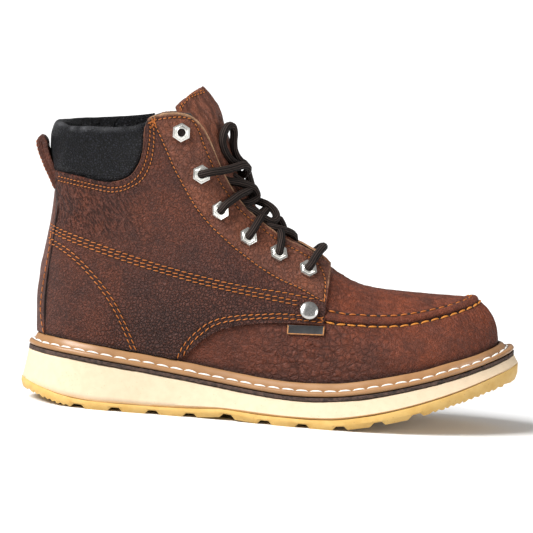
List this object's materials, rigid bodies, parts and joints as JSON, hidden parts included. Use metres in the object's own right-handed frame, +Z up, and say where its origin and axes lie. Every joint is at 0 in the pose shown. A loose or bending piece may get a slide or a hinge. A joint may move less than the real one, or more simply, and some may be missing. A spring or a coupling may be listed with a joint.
{
  "type": "moc toe work boot",
  "caption": "Ankle-high lace-up work boot with a raised moc toe seam, stitched storm welt, padded collar and a lugged wedge sole.",
  "frame": {"origin": "on the floor, under the middle of the boot's length and width", "axes": "+X from heel to toe, +Y towards the inner side of the foot, +Z up"},
  "size_m": [0.3045, 0.1126, 0.1976],
  "materials": {
    "gum_rubber": "yellow gum, satin",
    "pale_foam": "cream, matt, fine specks",
    "dark_leather": "dark brown edge",
    "insole_cover": "dark woven cover",
    "welt_leather": "tan, polished edge",
    "brown_leather": "reddish brown, pebbled grain",
    "black_leather": "black, fine grain, padded",
    "label_leather": "black with a tan border",
    "bright_metal": "bright nickel",
    "lace_cord": "dark brown braid"
  },
  "bodies": {
    "root": {"outsole": "gum_rubber", "wedge": "pale_foam", "midsole": "dark_leather", "insole": "insole_cover", "welt": "welt_leather", "upper": "brown_leather", "quarter_outer": "brown_leather", "quarter_inner": "brown_leather", "backstay": "brown_leather", "collar": "black_leather", "tongue": "brown_leather", "pull_loop": "brown_leather", "label": "label_leather", "eyelet_outer_1": "bright_metal", "eyelet_outer_2": "bright_metal", "eyelet_outer_3": "bright_metal", "eyelet_outer_4": "bright_metal", "eyelet_outer_5": "bright_metal", "eyelet_outer_6": "bright_metal", "eyelet_inner_1": "bright_metal", "eyelet_inner_2": "bright_metal", "eyelet_inner_3": "bright_metal", "eyelet_inner_4": "bright_metal", "eyelet_inner_5": "bright_metal", "eyelet_inner_6": "bright_metal", "rivet_outer": "bright_metal", "rivet_inner": "bright_metal", "lace_bar": "lace_cord", "lace_cross_low": "lace_cord", "lace_cross_mid": "lace_cord", "lace_cross_high": "lace_cord", "lace_tie_outer": "lace_cord", "lace_tie_inner": "lace_cord", "lace_knot": "lace_cord", "lace_loop_up": "lace_cord", "lace_loop_down": "lace_cord", "lace_end_long": "lace_cord", "lace_end_short": "lace_cord"}
  },
  "joints": []
}
